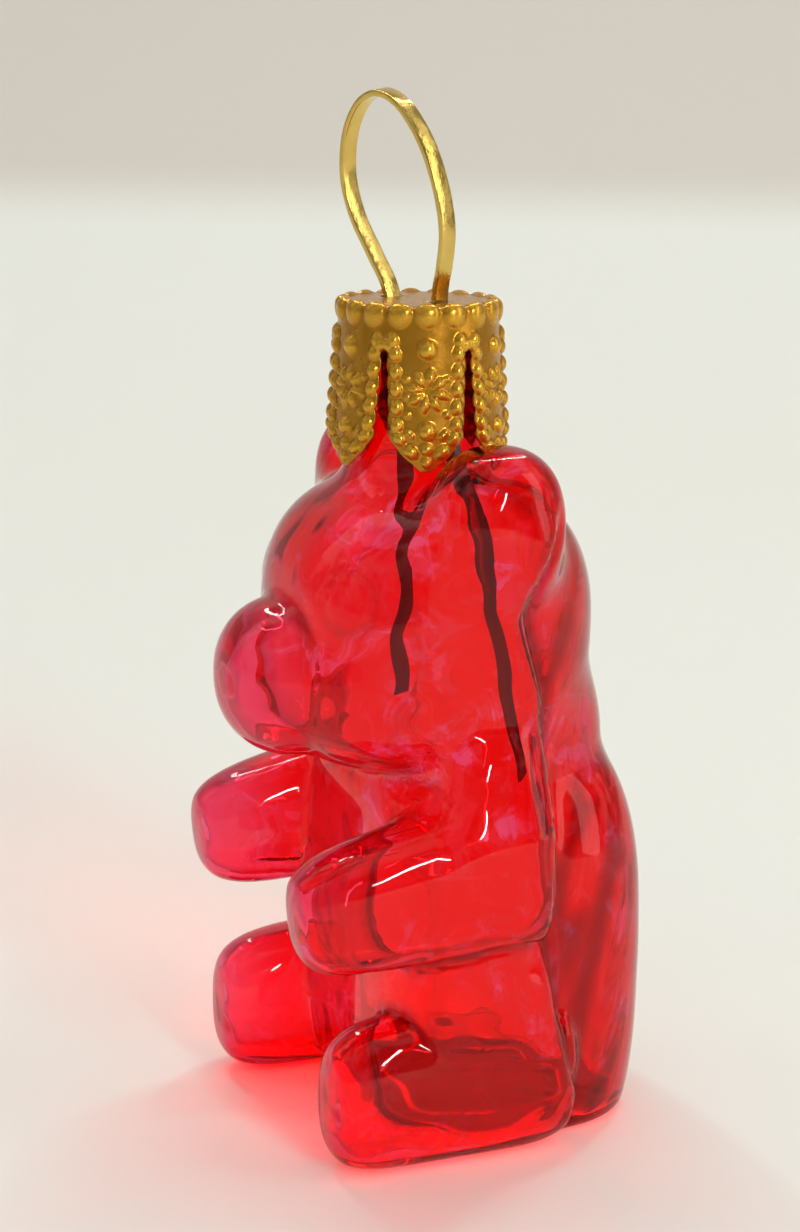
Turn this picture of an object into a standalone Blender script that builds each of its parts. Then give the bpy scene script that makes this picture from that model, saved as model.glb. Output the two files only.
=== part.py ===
"""Hollow glass tree ornament: a seated gummy bear with a gilt crown cap and a flat wire hanger.

The bear looks along -Y and sits on Z = 0.  Metres, +Z up, origin under the middle of the bear.
"""
import math

import bmesh
import bpy
from mathutils import Matrix, Vector

MM = 0.001

# ---- driving dimensions, in millimetres; Y places of the bear's forms are measured from the neck axis
NECK_Y = -0.83                # neck axis from the origin, so that the origin is under the middle of the box
WALL = 0.75                   # blown wall
VOXEL = 0.5                   # grid that merges the forms into one skin
SOFTEN_STEPS = 7              # smoothing passes that round the creases of the mould
SKIN_FACES = 3450             # triangles of the outer skin
NECK_RADIUS = 4.6
NECK_TOP = 55.0

CAP_TOP = 55.9                # upper face of the crown cap
CAP_SHEET = 0.3               # sheet of the cap
CAP_TOP_RADIUS = 5.45         # outer radius under the rim
CAP_LOW_RADIUS = 6.05         # outer radius at the petals' shoulders
CAP_RIM_RADIUS = 0.65         # rolled rim
CAP_STEPS = 66                # faces round the cap
PETALS = 6
PETAL_TURN = 42.0             # degrees from +X to the first petal's middle
PETAL_TIP = 45.2              # height of the points
PETAL_SHOULDER = 48.0         # height where a petal starts to narrow
SLIT_TOP = 52.6               # height where the slit between two petals ends
SLIT_NARROW = 0.25            # width of the slit at its top
SLIT_WIDE = 1.1               # width of the slit at the shoulders

STRIP_WIDTH = 1.2             # flat brass strip of the hanger
STRIP_THICK = 0.42
LOOP_TURN = 18.0              # degrees from +X to the plane of the loop
LOOP_LEAN = 7.5               # degrees that the loop leans forward, so that its legs reach back
LOOP_FOOT_Y = -0.25           # foot of the loop on the cap, from the neck axis
SLOT_ROOM = 0.3               # clearance round the strip where it passes the cap
# route of the strip in its own plane: across, up from the cap's top
STRIP_ROUTE = [
    (-5.2, -29.0), (-4.2, -23.0), (-3.3, -17.5), (-2.4, -12.5), (-2.0, -8.0), (-2.0, -4.0),
    (-2.3, 0.0), (-3.6, 2.4), (-5.0, 4.8), (-5.6, 7.2), (-5.3, 9.4), (-4.5, 11.1), (-3.2, 12.4),
    (-1.6, 12.9), (0.0, 12.4), (1.3, 11.2), (2.5, 9.3), (3.3, 6.8), (3.5, 4.4), (3.0, 2.2),
    (2.3, 0.0), (2.0, -4.0), (2.0, -8.0), (2.7, -11.0), (4.7, -15.0), (5.6, -20.0), (6.1, -26.0), (7.3, -32.0),
]

# bear forms: name, centre (x, y from the neck axis, z), half sizes, powers (across, along Y),
# taper towards the back, tilt in degrees about X.  x above 0 is made on both sides.
FORMS = [
    ("head", (0.0, 0.75, 34.7), (10.8, 10.4, 9.9), (2.6, 2.5), 0.0, 0.0),
    ("jaw", (0.0, -3.2, 30.6), (8.8, 7.2, 5.0), (2.5, 2.5), 0.0, 0.0),
    ("snout", (0.0, -8.4, 31.5), (5.3, 5.3, 5.3), (2.2, 2.3), 0.0, 0.0),
    ("ear", (9.3, 1.3, 42.5), (3.8, 4.3, 5.0), (2.3, 2.4), 0.0, 0.0),
    ("chest", (0.0, 0.1, 13.0), (11.5, 5.6, 13.4), (3.4, 3.6), 0.0, 0.0),
    ("nape", (0.0, 5.6, 26.5), (8.2, 7.0, 6.5), (2.5, 2.5), 0.0, 0.0),
    ("back", (0.0, 5.7, 10.5), (10.3, 9.6, 17.4), (3.0, 3.0), 0.0, 0.0),
    ("arm", (9.2, -3.4, 18.85), (3.3, 8.9, 4.8), (2.6, 4.3), 0.17, 7.0),
    ("leg", (8.8, -1.0, 5.0), (3.1, 8.8, 5.5), (2.4, 4.3), 0.06, 0.0),
]
RIGHT_LEG_REACH = 1.1         # the right leg reaches this much further forward

GLASS_COLOUR = (0.62, 0.01, 0.02)
GILT_COLOUR = (0.72, 0.47, 0.11)
BRASS_COLOUR = (0.62, 0.43, 0.13)


def collection(name):
    made = bpy.data.collections.new(name)
    bpy.context.scene.collection.children.link(made)
    return made


def material(name, colour, roughness, metallic, transmission=0.0):
    made = bpy.data.materials.new(name)
    made.use_nodes = True
    shader = made.node_tree.nodes["Principled BSDF"]
    shader.inputs["Base Color"].default_value = (*colour, 1.0)
    shader.inputs["Roughness"].default_value = roughness
    shader.inputs["Metallic"].default_value = metallic
    shader.inputs["Transmission Weight"].default_value = transmission
    return made


def add_object(name, mesh, home):
    made = bpy.data.objects.new(name, mesh)
    home.objects.link(made)
    return made


def evaluated_mesh(item):
    """The mesh of an object after its modifiers; the object itself is removed."""
    graph = bpy.context.evaluated_depsgraph_get()
    mesh = bpy.data.meshes.new_from_object(item.evaluated_get(graph))
    mesh.transform(item.matrix_world)
    bpy.data.objects.remove(item)
    return mesh


def powered_length(point, half, powers):
    """Size of a superellipsoid through a point: 1 on its surface."""
    across, along = powers
    ring = (abs(point.x / half[0]) ** across + abs(point.z / half[2]) ** across) ** (along / across)
    return (ring + abs(point.y / half[1]) ** along) ** (1.0 / along)


def add_form(bm, side, centre, half, powers, taper, tilt):
    """A ball pushed out to a rounded block, tapered along Y, tilted about X and set in its place."""
    half = [value * MM for value in half]
    ball = bmesh.ops.create_icosphere(bm, subdivisions=5, radius=min(half))
    turn = Matrix.Rotation(math.radians(tilt), 3, "X")
    place = Vector((side * centre[0], centre[1] + NECK_Y, centre[2])) * MM
    for vert in ball["verts"]:
        point = vert.co / powered_length(vert.co, half, powers)
        scale = 1.0 + taper * point.y / half[1]
        vert.co = turn @ Vector((point.x * scale, point.y, point.z * scale)) + place


def bear_skin():
    """All forms and the neck in one mesh; the shells still cross one another."""
    bm = bmesh.new()
    for name, centre, half, powers, taper, tilt in FORMS:
        for side in ((1, -1) if centre[0] else (1,)):
            reach = RIGHT_LEG_REACH if (name, side) == ("leg", -1) else 0.0
            middle = (centre[0], centre[1] - reach / 2, centre[2])
            size = (half[0], half[1] + reach / 2, half[2])
            add_form(bm, side, middle, size, powers, taper, tilt)
    neck_foot = 38.0
    length = (NECK_TOP + 2.0 - neck_foot) * MM
    middle = Vector((0.0, NECK_Y, (NECK_TOP + 2.0 + neck_foot) / 2)) * MM
    bmesh.ops.create_cone(bm, cap_ends=True, segments=48, radius1=NECK_RADIUS * MM, radius2=NECK_RADIUS * MM,
                          depth=length, matrix=Matrix.Translation(middle))
    mesh = bpy.data.meshes.new("bear_forms")
    bm.to_mesh(mesh)
    bm.free()
    return mesh


def glass_bear(home, finish):
    bear = add_object("glass_bear", bear_skin(), home)
    merge = bear.modifiers.new("merge forms", "REMESH")
    merge.mode = "VOXEL"
    merge.voxel_size = VOXEL * MM
    merge.adaptivity = 0.0
    soften = bear.modifiers.new("soften creases", "SMOOTH")
    soften.factor = 0.5
    soften.iterations = SOFTEN_STEPS
    mesh = evaluated_mesh(bear)
    bm = bmesh.new()
    bm.from_mesh(mesh)
    for vert in bm.verts:
        vert.co.z = max(vert.co.z, 0.0)
    plane = Vector((0.0, 0.0, NECK_TOP * MM))
    bmesh.ops.bisect_plane(bm, geom=bm.verts[:] + bm.edges[:] + bm.faces[:], plane_co=plane,
                           plane_no=(0.0, 0.0, 1.0), clear_outer=True)
    bmesh.ops.triangulate(bm, faces=bm.faces[:])
    bm.to_mesh(mesh)
    triangles = len(bm.faces)
    bm.free()
    bear = add_object("glass_bear", mesh, home)
    thin_out = bear.modifiers.new("fewer faces", "DECIMATE")
    thin_out.ratio = SKIN_FACES / triangles
    wall = bear.modifiers.new("blown wall", "SOLIDIFY")
    wall.thickness = WALL * MM
    wall.offset = -1.0
    mesh = evaluated_mesh(bear)
    mesh.name = "glass_bear"
    mesh.materials.append(finish)
    bear = add_object("glass_bear", mesh, home)
    mesh.shade_smooth()
    return bear


def flat_cutter(name, outline, depth, place, turn, home):
    """A prism: an outline in its own X and Z, pushed along its own Y, turned about Z and placed."""
    curve = bpy.data.curves.new(name, "CURVE")
    curve.dimensions = "2D"
    curve.fill_mode = "BOTH"
    curve.extrude = depth / 2
    line = curve.splines.new("POLY")
    line.points.add(len(outline) - 1)
    for point, (across, up) in zip(line.points, outline):
        point.co = (across, up, 0.0, 1.0)
    line.use_cyclic_u = True
    guide = add_object(name, curve, home)
    guide.matrix_world = (Matrix.Translation(place) @ Matrix.Rotation(turn, 4, "Z")
                          @ Matrix.Rotation(math.radians(90.0), 4, "X"))
    bpy.context.view_layer.update()
    mesh = evaluated_mesh(guide)
    bm = bmesh.new()
    bm.from_mesh(mesh)
    bmesh.ops.remove_doubles(bm, verts=bm.verts[:], dist=0.00001)
    bmesh.ops.recalc_face_normals(bm, faces=bm.faces[:])
    bm.to_mesh(mesh)
    bm.free()
    cutter = add_object(name, mesh, home)
    cutter.hide_render = True
    cutter.display_type = "WIRE"
    return cutter


def cap_profile():
    """Half section of the cap, from the middle of its top outwards, down the skirt and back inside."""
    rim_height = CAP_TOP - CAP_RIM_RADIUS
    rim_middle = CAP_TOP_RADIUS - CAP_RIM_RADIUS
    profile = [(0.0, CAP_TOP - 0.15), (rim_middle - 0.5, CAP_TOP - 0.15)]
    for step in range(6):
        angle = math.radians(90.0 - 24.0 * step)
        profile.append((rim_middle + CAP_RIM_RADIUS * math.cos(angle),
                        rim_height + CAP_RIM_RADIUS * math.sin(angle)))
    profile.append((CAP_TOP_RADIUS - 0.2, rim_height - 1.0))
    profile.append((CAP_LOW_RADIUS, PETAL_SHOULDER))
    profile.append((CAP_LOW_RADIUS - 0.1, PETAL_TIP - 0.5))
    profile.append((CAP_LOW_RADIUS - 0.1 - CAP_SHEET, PETAL_TIP - 0.5))
    profile.append((CAP_LOW_RADIUS - CAP_SHEET, PETAL_SHOULDER))
    profile.append((CAP_TOP_RADIUS - 0.2 - CAP_SHEET, CAP_TOP - 0.15 - CAP_SHEET))
    profile.append((0.0, CAP_TOP - 0.15 - CAP_SHEET))
    return profile


def turned(name, profile, steps, home):
    """A profile turned about the neck axis."""
    mesh = bpy.data.meshes.new(name)
    points = [(radius * MM, 0.0, height * MM) for radius, height in profile]
    mesh.from_pydata(points, [(i, i + 1) for i in range(len(points) - 1)], [])
    made = add_object(name, mesh, home)
    made.location = (0.0, NECK_Y * MM, 0.0)
    screw = made.modifiers.new("turn", "SCREW")
    screw.steps = steps
    screw.render_steps = steps
    screw.use_merge_vertices = True
    screw.merge_threshold = 0.00002
    bpy.context.view_layer.update()
    return made


def strip_frame():
    """Axes of the plane of the loop: across, up, and out of the plane; and its foot on the cap's top."""
    across = Vector((math.cos(math.radians(LOOP_TURN)), math.sin(math.radians(LOOP_TURN)), 0.0))
    out = Matrix.Rotation(math.radians(LOOP_LEAN), 3, across) @ across.cross(Vector((0.0, 0.0, 1.0)))
    up = out.cross(across)
    return across, up, out, Vector((0.0, NECK_Y + LOOP_FOOT_Y, CAP_TOP)) * MM


def crown_cap(home, cutters, finish):
    cap = turned("cap", cap_profile(), CAP_STEPS, home)
    mesh = evaluated_mesh(cap)
    cap = add_object("cap", mesh, home)
    half_pitch = math.pi * CAP_LOW_RADIUS / PETALS
    notch = [(-SLIT_NARROW / 2, SLIT_TOP), (-SLIT_WIDE / 2, PETAL_SHOULDER),
             (-half_pitch, PETAL_TIP), (-half_pitch, PETAL_TIP - 2.0),
             (half_pitch, PETAL_TIP - 2.0), (half_pitch, PETAL_TIP),
             (SLIT_WIDE / 2, PETAL_SHOULDER), (SLIT_NARROW / 2, SLIT_TOP)]
    notch = [(across * MM, up * MM) for across, up in notch]
    for number in range(PETALS):
        angle = math.radians(PETAL_TURN + (number + 0.5) * 360.0 / PETALS)
        out = Vector((math.cos(angle), math.sin(angle), 0.0))
        place = Vector((0.0, NECK_Y, 0.0)) * MM + out * CAP_LOW_RADIUS * MM
        cutter = flat_cutter("notch_%d" % number, notch, 4.0 * MM, place, angle + math.pi / 2, cutters)
        cut = cap.modifiers.new("notch %d" % number, "BOOLEAN")
        cut.operation = "DIFFERENCE"
        cut.solver = "EXACT"
        cut.object = cutter
    slot_half_long = STRIP_THICK / 2 + SLOT_ROOM
    slot_half_wide = STRIP_WIDTH / 2 + SLOT_ROOM
    for name, across_at in (("slot_left", -2.3), ("slot_right", 2.3)):
        across, _, _, foot = strip_frame()
        outline = [(-slot_half_long * MM, -1.5 * MM), (slot_half_long * MM, -1.5 * MM),
                   (slot_half_long * MM, 1.5 * MM), (-slot_half_long * MM, 1.5 * MM)]
        place = foot + across * across_at * MM
        cutter = flat_cutter(name, outline, 2 * slot_half_wide * MM, place, math.radians(LOOP_TURN), cutters)
        cut = cap.modifiers.new(name, "BOOLEAN")
        cut.operation = "DIFFERENCE"
        cut.solver = "EXACT"
        cut.object = cutter
    cap.data.materials.append(finish)
    return cap


def smooth_route(points, pieces):
    """Catmull-Rom curve through the points."""
    ends = [points[0] * 2 - points[1]] + points + [points[-1] * 2 - points[-2]]
    route = []
    for i in range(1, len(ends) - 2):
        a, b, c, d = ends[i - 1:i + 3]
        for step in range(pieces):
            t = step / pieces
            route.append(0.5 * (2 * b + (c - a) * t + (2 * a - 5 * b + 4 * c - d) * t * t
                                + (3 * b - 3 * c + d - a) * t ** 3))
    route.append(points[-1])
    return route


def hanger_wire(home, finish):
    """A flat strip bent on its side: a ribbon across the plane of the loop, given its thickness."""
    across, up, out, foot = strip_frame()
    route = smooth_route([Vector(point + (0.0,)) for point in STRIP_ROUTE], 3)
    curve = bpy.data.curves.new("hanger_wire", "CURVE")
    curve.dimensions = "2D"
    curve.fill_mode = "NONE"
    curve.extrude = STRIP_WIDTH / 2 * MM
    line = curve.splines.new("POLY")
    line.points.add(len(route) - 1)
    for point, place in zip(line.points, route):
        point.co = (place.x * MM, place.y * MM, 0.0, 1.0)
    guide = add_object("hanger_wire", curve, home)
    axes = Matrix((across, up, out)).transposed().to_4x4()
    guide.matrix_world = Matrix.Translation(foot) @ axes
    bpy.context.view_layer.update()
    mesh = evaluated_mesh(guide)
    wire = add_object("hanger_wire", mesh, home)
    thick = wire.modifiers.new("strip", "SOLIDIFY")
    thick.thickness = STRIP_THICK * MM
    thick.offset = 0.0
    thick.use_even_offset = True
    mesh.materials.append(finish)
    return wire


def main():
    for item in list(bpy.data.objects):
        bpy.data.objects.remove(item)
    home = collection("glass_bear_ornament")
    cutters = collection("cutters")
    red = material("red glass", GLASS_COLOUR, 0.02, 0.0, 1.0)
    gilt = material("gilt tinplate", GILT_COLOUR, 0.35, 1.0)
    brass = material("brass strip", BRASS_COLOUR, 0.3, 1.0)
    glass_bear(home, red)
    crown_cap(home, cutters, gilt)
    hanger_wire(home, brass)


main()
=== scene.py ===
# %% [markdown]
# # A glass gummy bear for the tree
# The object is a small blown glass ornament: a hollow red bear that sits, a gold crown cap on its neck and a flat
# brass loop whose two spring legs hang down inside the glass. The solids of the part are loaded first. They stay
# where they are, and every piece made here is built in the same frame, so nothing has to be fitted afterwards.

# %% Load the part
import math

import bmesh
import bpy
import numpy as np
from mathutils import Matrix, Vector, noise


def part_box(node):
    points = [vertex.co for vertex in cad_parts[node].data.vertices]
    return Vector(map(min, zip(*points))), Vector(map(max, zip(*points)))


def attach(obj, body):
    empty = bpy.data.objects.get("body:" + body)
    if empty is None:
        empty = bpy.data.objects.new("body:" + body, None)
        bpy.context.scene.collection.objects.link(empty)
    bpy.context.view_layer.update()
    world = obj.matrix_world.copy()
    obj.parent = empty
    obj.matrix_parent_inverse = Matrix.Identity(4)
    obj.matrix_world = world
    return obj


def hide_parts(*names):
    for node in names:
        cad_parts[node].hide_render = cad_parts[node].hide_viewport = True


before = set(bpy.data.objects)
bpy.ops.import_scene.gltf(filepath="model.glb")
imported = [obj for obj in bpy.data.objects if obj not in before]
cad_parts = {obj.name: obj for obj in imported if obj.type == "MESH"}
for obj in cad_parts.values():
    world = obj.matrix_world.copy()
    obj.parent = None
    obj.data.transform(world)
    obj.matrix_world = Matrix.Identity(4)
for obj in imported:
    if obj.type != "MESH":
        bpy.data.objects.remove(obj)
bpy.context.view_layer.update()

MM = 0.001

# %% [markdown]
# All places come from the boxes of the solids. The middle of the cap is the axis of the neck, and everything on the
# bear is measured from that axis and from the table, in millimetres, as a mould maker would note it.

# %% Places from the solids
cap_low, cap_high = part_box("cap")
_, bear_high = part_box("glass_bear")
NECK_X = (cap_low.x + cap_high.x) / 2 / MM
NECK_Y = (cap_low.y + cap_high.y) / 2 / MM
NECK_TOP = bear_high.z / MM
CAP_TOP = cap_high.z / MM
CAP_LOW_RADIUS = (cap_high.x - cap_low.x) / 2 / MM
print("neck axis at Y %.2f mm, neck top %.1f mm, cap top %.1f mm" % (NECK_Y, NECK_TOP, CAP_TOP))

# %% [markdown]
# Three helpers serve every finish and piece: one turns a printed sRGB colour into the linear values that a shader
# needs, one adds a node with its settings and its links, and one makes an object from lists of points and faces.

# %% Helpers
def linear(hex_colour):
    parts = [int(hex_colour[i:i + 2], 16) / 255 for i in (1, 3, 5)]
    return tuple(c / 12.92 if c <= 0.04045 else ((c + 0.055) / 1.055) ** 2.4 for c in parts) + (1.0,)


def add_node(tree, kind, inputs=None, **settings):
    """A node with its settings; inputs maps a socket's name or number to a value or to another socket."""
    node = tree.nodes.new(kind)
    for name, value in settings.items():
        setattr(node, name, value)
    for socket, value in (inputs or {}).items():
        if isinstance(value, bpy.types.NodeSocket):
            tree.links.new(value, node.inputs[socket])
        else:
            node.inputs[socket].default_value = value
    return node


def new_object(name, mesh):
    made = bpy.data.objects.new(name, mesh)
    bpy.context.scene.collection.objects.link(made)
    return made


def finished_mesh(item, name):
    """The evaluated mesh of an object whose modifiers are done; the object is removed."""
    graph = bpy.context.evaluated_depsgraph_get()
    mesh = bpy.data.meshes.new_from_object(item.evaluated_get(graph))
    mesh.name = name
    bpy.data.objects.remove(item)
    return mesh


# %% [markdown]
# ## The bear's shape
# The real bear is blown into a two-part mould, so its forms run into one another with soft creases. Each form here
# is a superellipsoid: a ball whose powers make it boxier, as on the limbs, or rounder, as on the snout. The list
# holds the same sizes as the solids, and for each form the radius of the crease where it joins the rest.

# %% Forms of the mould
# name: middle (x, y from the neck axis, z), half sizes, powers (across, along Y), taper, tilt, crease radius
FORMS = {
    "head": ((0.0, 0.75, 34.7), (10.8, 10.4, 9.9), (2.6, 2.5), 0.0, 0.0, 0.0),
    "jaw": ((0.0, -3.2, 30.6), (8.8, 7.2, 5.0), (2.5, 2.5), 0.0, 0.0, 2.0),
    "snout": ((0.0, -8.4, 31.5), (5.3, 5.3, 5.3), (2.2, 2.3), 0.0, 0.0, 0.6),
    "ear": ((9.3, 1.3, 42.5), (3.8, 4.3, 5.0), (2.3, 2.4), 0.0, 0.0, 2.6),
    "nape": ((0.0, 5.6, 26.5), (8.2, 7.0, 6.5), (2.5, 2.5), 0.0, 0.0, 2.5),
    "back": ((0.0, 5.7, 10.5), (10.3, 9.6, 17.4), (3.0, 3.0), 0.0, 0.0, 1.2),
    "chest": ((0.0, 0.1, 13.0), (11.5, 5.6, 13.4), (3.4, 3.6), 0.0, 0.0, 0.9),
    "arm": ((9.2, -3.4, 18.85), (3.3, 8.9, 4.8), (2.6, 4.3), 0.17, 7.0, 0.5),
    "shoulder": ((8.7, 1.4, 23.4), (3.2, 3.6, 5.6), (2.6, 3.0), 0.0, 0.0, 2.2),
    "leg": ((8.8, -1.0, 5.0), (3.1, 8.8, 5.5), (2.4, 4.3), 0.06, 0.0, 0.6),
    "hip": ((8.8, 1.2, 9.2), (2.9, 5.0, 5.0), (2.6, 3.2), 0.0, 0.0, 0.9),
}
RIGHT_LEG_REACH = 1.1
NECK_RADIUS = 4.6
NECK_CREASE = 2.2
SEAT_CREASE = 0.9


def form_gap(points, form):
    """Rough distance of each point from the surface of a form, negative inside. Paired forms fold X."""
    middle, half, (across, along), taper, tilt, _ = form
    q = points - np.array([0.0, middle[1], middle[2]])
    q[:, 0] = np.abs(points[:, 0]) - middle[0] if middle[0] else points[:, 0]
    turn = math.radians(-tilt)
    y = math.cos(turn) * q[:, 1] - math.sin(turn) * q[:, 2]
    z = math.sin(turn) * q[:, 1] + math.cos(turn) * q[:, 2]
    size_y = np.full(len(q), half[1])
    if form is FORMS["leg"]:
        right = points[:, 0] < 0
        size_y[right] += RIGHT_LEG_REACH / 2
        y = y + np.where(right, RIGHT_LEG_REACH / 2, 0.0)
    scale = np.clip(1.0 + taper * y / size_y, 0.3, 2.0)
    ring = (np.abs(q[:, 0] / (half[0] * scale)) ** across + np.abs(z / (half[2] * scale)) ** across)
    size = (ring ** (along / across) + np.abs(y / size_y) ** along) ** (1.0 / along)
    size = np.maximum(size, 1e-6)
    return np.sqrt(q[:, 0] ** 2 + y ** 2 + z ** 2) * (1.0 - 1.0 / size)


def blended(a, b, crease):
    """The nearer of two gaps, rounded where they meet."""
    if crease <= 0:
        return np.minimum(a, b)
    near = np.maximum(crease - np.abs(a - b), 0.0) / crease
    return np.minimum(a, b) - near * near * crease / 4


def bear_gap(points):
    """Distance of points, in millimetres from the neck axis and the table, from the bear's outer skin."""
    gap = None
    for form in FORMS.values():
        here = form_gap(points, form)
        gap = here if gap is None else blended(gap, here, form[5])
    neck = np.hypot(points[:, 0], points[:, 1]) - NECK_RADIUS
    neck = np.maximum(neck, 38.0 - points[:, 2])
    gap = blended(gap, neck, NECK_CREASE)
    return -blended(-gap, points[:, 2], SEAT_CREASE)


# %% [markdown]
# ## From forms to a skin
# A voxel remesh of the crossing forms gives an even net of quads. The net is then drawn onto the exact surface: each
# point slides along the slope of the distance until it lies on the skin, the net is evened out, and it is drawn on
# again. That keeps the creases as soft and as even as the mould has them.

# %% Net of the outer skin
NET = 0.4


def crossing_forms():
    bm = bmesh.new()
    for name, (middle, half, (across, along), taper, tilt, _) in FORMS.items():
        for side in ((1, -1) if middle[0] else (1,)):
            reach = RIGHT_LEG_REACH if (name, side) == ("leg", -1) else 0.0
            size = (half[0], half[1] + reach / 2, half[2])
            ball = bmesh.ops.create_icosphere(bm, subdivisions=5, radius=min(half))
            turn = Matrix.Rotation(math.radians(tilt), 3, "X")
            place = Vector((side * middle[0], middle[1] - reach / 2, middle[2]))
            for vert in ball["verts"]:
                p = vert.co
                ring = (abs(p.x / size[0]) ** across + abs(p.z / size[2]) ** across) ** (along / across)
                p = p / (ring + abs(p.y / size[1]) ** along) ** (1.0 / along)
                wide = 1.0 + taper * p.y / size[1]
                vert.co = turn @ Vector((p.x * wide, p.y, p.z * wide)) + place
    top = NECK_TOP + 2.0
    foot = 38.0
    bmesh.ops.create_cone(bm, cap_ends=True, segments=64, radius1=NECK_RADIUS, radius2=NECK_RADIUS,
                          depth=top - foot, matrix=Matrix.Translation((0.0, 0.0, (top + foot) / 2)))
    mesh = bpy.data.meshes.new("forms")
    bm.to_mesh(mesh)
    bm.free()
    return mesh


forms = new_object("forms", crossing_forms())
remesh = forms.modifiers.new("one skin", "REMESH")
remesh.mode = "VOXEL"
remesh.voxel_size = NET
net = finished_mesh(forms, "net")
bm = bmesh.new()
bm.from_mesh(net)
bmesh.ops.bisect_plane(bm, geom=bm.verts[:] + bm.edges[:] + bm.faces[:], plane_co=(0.0, 0.0, NECK_TOP),
                       plane_no=(0.0, 0.0, 1.0), clear_outer=True)
bm.to_mesh(net)
bm.free()
net_points = np.array([v.co for v in net.vertices], float)
net_edges = np.array([e.vertices for e in net.edges], int)
net_faces = [tuple(f.vertices) for f in net.polygons]
print("net of the skin:", len(net_points), "points", len(net_faces), "faces")


# %% Draw the net onto the surface
def slope(points, step=0.02):
    rise = np.empty_like(points)
    for axis in range(3):
        shift = np.zeros(3)
        shift[axis] = step
        rise[:, axis] = (bear_gap(points + shift) - bear_gap(points - shift)) / (2 * step)
    return rise


def onto_skin(points, rounds):
    for _ in range(rounds):
        rise = slope(points)
        steepness = np.maximum((rise ** 2).sum(1, keepdims=True), 0.05)
        move = bear_gap(points)[:, None] * rise / steepness
        points = points - np.clip(move, -0.5, 0.5)
    return points


def evened(points, edges, share, fixed):
    """Each point moves a share of the way to the middle of its neighbours."""
    total = np.zeros_like(points)
    count = np.bincount(edges.ravel(), minlength=len(points))[:, None]
    for axis in range(points.shape[1]):
        total[:, axis] = (np.bincount(edges[:, 0], points[edges[:, 1], axis], len(points))
                          + np.bincount(edges[:, 1], points[edges[:, 0], axis], len(points)))
    middle = total / np.maximum(count, 1)
    moved = points + share * (middle - points)
    moved[fixed] = points[fixed]
    return moved


on_rim = net_points[:, 2] > NECK_TOP - 0.01
skin = onto_skin(net_points, 3)
for _ in range(4):
    skin = evened(skin, net_edges, 0.5, on_rim)
    skin = onto_skin(skin, 2)
skin[on_rim, 2] = NECK_TOP
skin[:, 2] = np.maximum(skin[:, 2], 0.0)
print("largest gap between net and skin: %.3f mm" % np.abs(bear_gap(skin)[~on_rim]).max())

# %% [markdown]
# ## The blown wall
# Blown glass is uneven: the wall is thin where the bubble was stretched and thicker in the corners. The inner skin is
# the outer one moved inwards by a wall that varies, and then evened out, because the inside of a bubble never touches
# the mould and keeps no sharp crease. The outer skin gets slow ripples, and a step and a groove where the two halves
# of the mould met. The inner skin gets finer ripples that bend the light: level ones on the sides and leaning ones on
# the back. A number on each point says how much painted shade the glass gets there: in the creases, along the mould
# line and in streaks down the back, where shade and dark reflections fall.

# %% Wall, ripples and mould line
WALL = 0.55
THINNEST = 0.32
RIPPLE = 0.05
RIPPLE_LENGTH = 4.5
LENS_RIPPLE = 0.1
STREAK_RIPPLE = 0.16
# stretches the noise along a line that leans backwards, and keeps it fine across it
STREAK_WAY = np.array([(1.0, 0.0, 0.0), (0.0, 1.0, 0.06), (0.0, -0.35, 0.14)])
LENS_LENGTH = 1.9
# the mould's parting line: (height, y from the neck axis)
PARTING = [(0.0, 7.4), (3.9, 7.6), (5.9, 6.8), (11.8, 5.6), (15.3, 4.9), (19.8, 4.9), (24.6, 5.1), (28.3, 5.1),
           (31.0, 4.7), (35.0, 3.4), (37.0, 2.8), (38.8, 2.9), (40.6, 3.5), (42.5, 4.2), (55.0, 4.4)]
PARTING_GROOVE = 0.42
PARTING_LIP = 0.5
# the crease under the arm: (y from the neck axis, height)
ARM_CREASE = [(-9.5, 14.3), (-4.7, 14.2), (-2.3, 14.6), (1.0, 15.0), (6.0, 14.9)]
ARM_GROOVE = 0.35
ARM_LIP = 0.3
FAR_SHARE = 0.5
EYE = (7.0, -7.8, 37.7)
EYE_RADIUS = 2.0


def mould_relief(points):
    """Height of the parting line and of the eyes over the smooth skin."""
    y_line = np.interp(points[:, 2], [z for z, _ in PARTING], [y for _, y in PARTING])
    past = points[:, 1] - y_line
    strong = np.clip((np.abs(points[:, 0]) - 3.0) / 3.0, 0.0, 1.0) * np.clip((44.0 - points[:, 2]) / 2.0, 0.0, 1.0)
    strong = strong * np.clip((points[:, 2] - 0.6) / 1.5, 0.0, 1.0) * np.where(points[:, 0] < 0, FAR_SHARE, 1.0)
    lip = PARTING_LIP * np.exp(np.minimum(past, 0.0) / 2.2) / (1.0 + np.exp((past + 0.35) / 0.14))
    groove = PARTING_GROOVE * np.exp(-(past / 0.4) ** 2)
    under = np.interp(points[:, 1], [y for y, _ in ARM_CREASE], [z for _, z in ARM_CREASE]) - points[:, 2]
    side = np.clip((np.abs(points[:, 0]) - 9.0) / 1.0, 0.0, 1.0) * np.clip((-past - 0.2) / 0.5, 0.0, 1.0)
    side = side * np.clip((points[:, 1] + 9.0) / 2.0, 0.0, 1.0)
    arm = side * (ARM_LIP * np.exp(np.minimum(under, 0.0) / 1.8) / (1.0 + np.exp((under + 0.3) / 0.14))
                  - ARM_GROOVE * np.exp(-(under / 0.42) ** 2))
    folded = np.stack([np.abs(points[:, 0]), points[:, 1], points[:, 2]], 1)
    out = np.linalg.norm(folded - np.array(EYE), axis=1)
    eye = 0.08 * np.clip(1.0 - (out / EYE_RADIUS) ** 2, 0.0, 1.0) - 0.06 * np.exp(-((out - EYE_RADIUS) / 0.3) ** 2)
    return strong * (lip - groove) + arm + eye


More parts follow.
